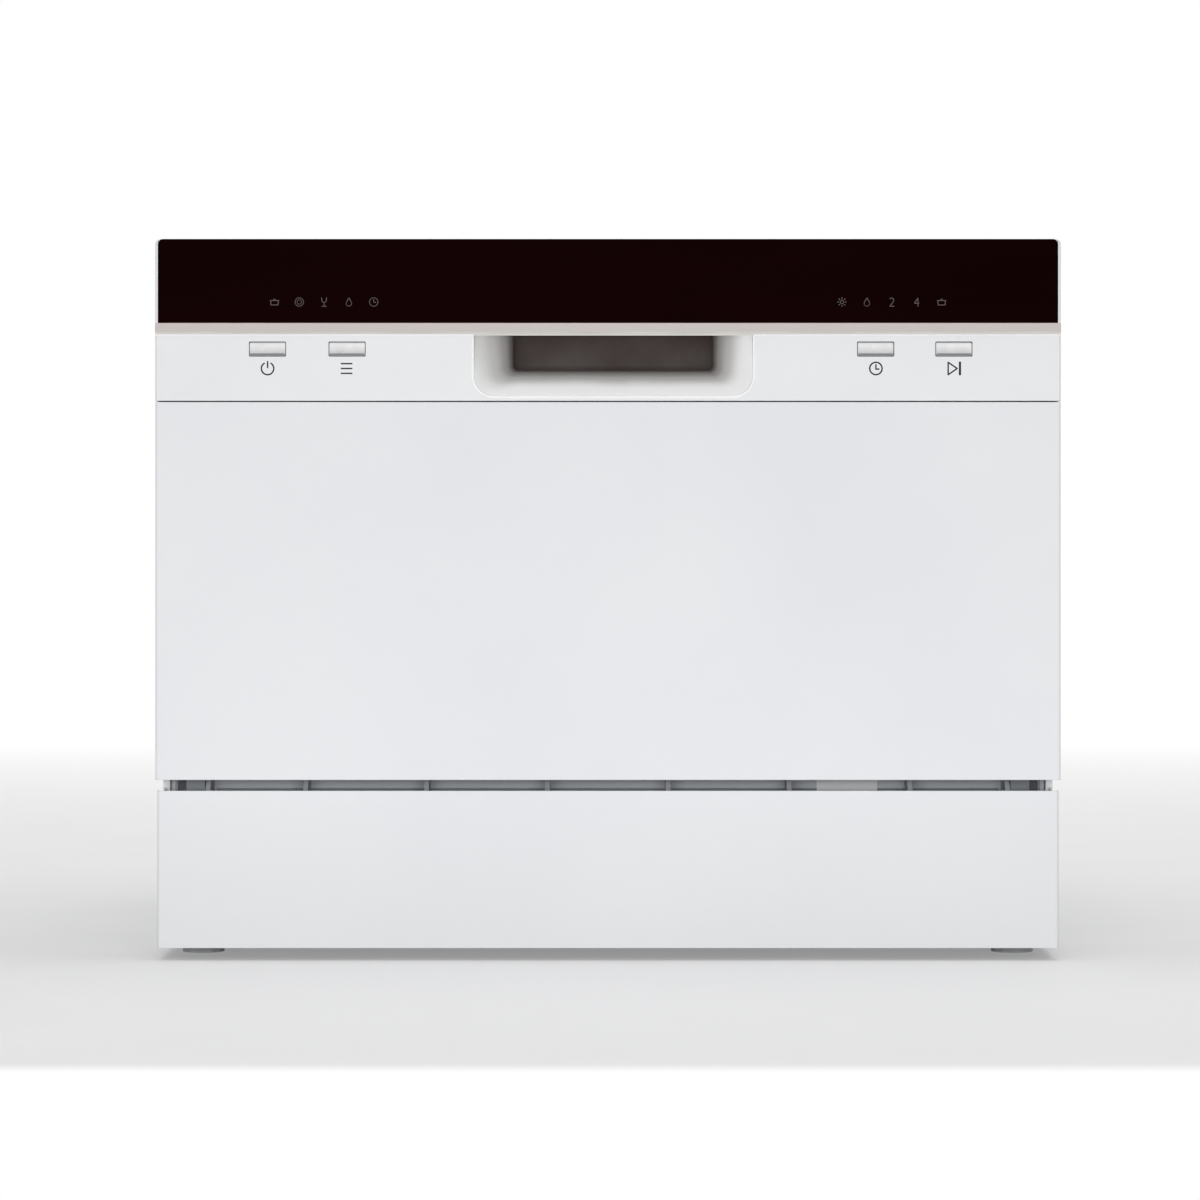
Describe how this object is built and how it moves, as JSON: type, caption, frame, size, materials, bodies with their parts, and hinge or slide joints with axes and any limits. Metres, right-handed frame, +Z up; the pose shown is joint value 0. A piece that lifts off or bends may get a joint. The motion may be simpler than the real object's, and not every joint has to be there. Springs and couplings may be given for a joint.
{
  "type": "countertop dishwasher",
  "caption": "Free-standing countertop dishwasher with a drop-down door, glossy display window, recessed grip, push keys, kick panel and a wire rack in a steel tub.",
  "frame": {"origin": "on the floor under the middle of the machine's outline", "axes": "+X to the right as seen from the front, +Y to the back, +Z up; the door faces -Y"},
  "size_m": [0.55, 0.5, 0.438],
  "materials": {
    "white_paint": "satin",
    "white_plastic": "satin",
    "black_glass": "gloss",
    "trim_grey": "satin",
    "grip_dark": "satin",
    "key_silver": "satin",
    "base_grey": "matte",
    "stainless": "satin",
    "zinc": "satin",
    "rubber_grey": "matte",
    "white_pp": "satin",
    "grey_pp": "satin",
    "dark_pp": "satin",
    "board_green": "satin",
    "wire_grey": "satin"
  },
  "bodies": {
    "cabinet": {"base_tray": "base_grey", "kick_panel": "white_paint", "side_panel_right": "white_paint", "side_panel_left": "white_paint", "top_cover": "white_plastic", "back_panel": "zinc", "feet": "dark_pp", "tub_shell": "stainless", "tub_floor": "stainless", "tub_rear": "stainless", "door_seal": "rubber_grey", "strike": "zinc", "hinge_brackets": "zinc", "door_springs": "zinc", "sump": "grey_pp", "fine_filter": "stainless", "wash_pump": "dark_pp", "heater": "stainless", "spray_feed": "grey_pp", "drain_pump": "dark_pp", "drain_hose": "rubber_grey", "drain_connector": "white_pp", "inlet_valve": "white_pp", "cord_gland": "dark_pp", "terminal_block": "white_pp", "air_breaker": "white_pp", "inlet_hose": "rubber_grey", "fill_hose": "rubber_grey", "softener": "white_pp", "pressure_switch": "dark_pp", "float_switch": "zinc"},
    "door": {"door_outer_panel": "white_paint", "inner_door": "stainless", "lower_seal": "rubber_grey", "hinge_arms": "zinc", "control_panel": "white_plastic", "display_window": "black_glass", "trim_strip": "trim_grey", "handle_cup": "grip_dark", "door_lock": "dark_pp", "catch_springs": "zinc", "control_boards": "board_green", "dispenser_body": "grey_pp"},
    "detergent_lid": {"detergent_lid": "white_pp"},
    "rinse_cap": {"rinse_cap": "dark_pp"},
    "rack": {"rack": "wire_grey", "axle_stubs": "grey_pp"},
    "front_wheels": {"front_wheels": "grey_pp"},
    "rear_wheels": {"rear_wheels": "grey_pp"},
    "cup_shelf": {"cup_shelf": "grey_pp"},
    "cutlery_basket": {"cutlery_basket": "grey_pp"},
    "spray_arm": {"spray_arm": "grey_pp"},
    "coarse_filter": {"coarse_filter": "grey_pp"},
    "salt_cap": {"salt_cap": "grey_pp"},
    "leak_float": {"leak_float": "white_pp"},
    "button_power": {"button_power": "key_silver"},
    "button_program": {"button_program": "key_silver"},
    "button_delay": {"button_delay": "key_silver"},
    "button_start": {"button_start": "key_silver"}
  },
  "joints": [
    {"name": "door_hinge", "type": "hinge", "parent": "cabinet", "child": "door", "pos_m": [0, -0.2285, 0.127], "axis": [1, 0, 0], "range_deg": [0, 90], "stiffness_Nm_per_rad": 3.2, "springref_deg": -31.51, "deforming": ["door_springs", "catch_springs"]},
    {"name": "press_power", "type": "slide", "parent": "door", "child": "button_power", "axis": [0, 1, 0], "range_m": [0, 0.0015], "stiffness_N_per_m": 400},
    {"name": "press_program", "type": "slide", "parent": "door", "child": "button_program", "axis": [0, 1, 0], "range_m": [0, 0.0015], "stiffness_N_per_m": 400},
    {"name": "press_delay", "type": "slide", "parent": "door", "child": "button_delay", "axis": [0, 1, 0], "range_m": [0, 0.0015], "stiffness_N_per_m": 400},
    {"name": "press_start", "type": "slide", "parent": "door", "child": "button_start", "axis": [0, 1, 0], "range_m": [0, 0.0015], "stiffness_N_per_m": 400},
    {"name": "lid_slide", "type": "slide", "parent": "door", "child": "detergent_lid", "axis": [0, 0, 1], "range_m": [0, 0.066]},
    {"name": "rinse_cap_turn", "type": "hinge", "parent": "door", "child": "rinse_cap", "pos_m": [0.047, -0.223, 0.273], "axis": [0, 1, 0], "range_deg": [0, 90]},
    {"name": "rack_slide", "type": "slide", "parent": "cabinet", "child": "rack", "axis": [0, -1, 0], "range_m": [0, 0.02]},
    {"name": "front_wheel_roll", "type": "hinge", "parent": "rack", "child": "front_wheels", "pos_m": [0, -0.128, 0.1455], "axis": [1, 0, 0], "range_deg": [0, 95]},
    {"name": "rear_wheel_roll", "type": "hinge", "parent": "rack", "child": "rear_wheels", "pos_m": [0, 0.135, 0.1455], "axis": [1, 0, 0], "range_deg": [0, 95]},
    {"name": "shelf_fold", "type": "hinge", "parent": "rack", "child": "cup_shelf", "pos_m": [-0.204, 0, 0.262], "axis": [0, -1, 0], "range_deg": [0, 85]},
    {"name": "basket_lift", "type": "slide", "parent": "rack", "child": "cutlery_basket", "axis": [0, 0, 1], "range_m": [0, 0.11]},
    {"name": "spray_spin", "type": "hinge", "parent": "cabinet", "child": "spray_arm", "pos_m": [0, 0, 0.131], "axis": [0, 0, 1], "continuous": true},
    {"name": "filter_twist", "type": "hinge", "parent": "cabinet", "child": "coarse_filter", "pos_m": [0.066, -0.062, 0.112], "axis": [0, 0, 1], "range_deg": [0, 75]},
    {"name": "salt_cap_turn", "type": "hinge", "parent": "cabinet", "child": "salt_cap", "pos_m": [-0.118, 0.128, 0.114], "axis": [0, 0, 1], "range_deg": [0, 180]},
    {"name": "float_rise", "type": "slide", "parent": "cabinet", "child": "leak_float", "axis": [0, 0, 1], "range_m": [0, 0.012]}
  ],
  "couplings": [
    {"joint": "front_wheel_roll", "follows": "rack_slide", "rad_per_m": 76.923},
    {"joint": "rear_wheel_roll", "follows": "rack_slide", "rad_per_m": 76.923}
  ]
}
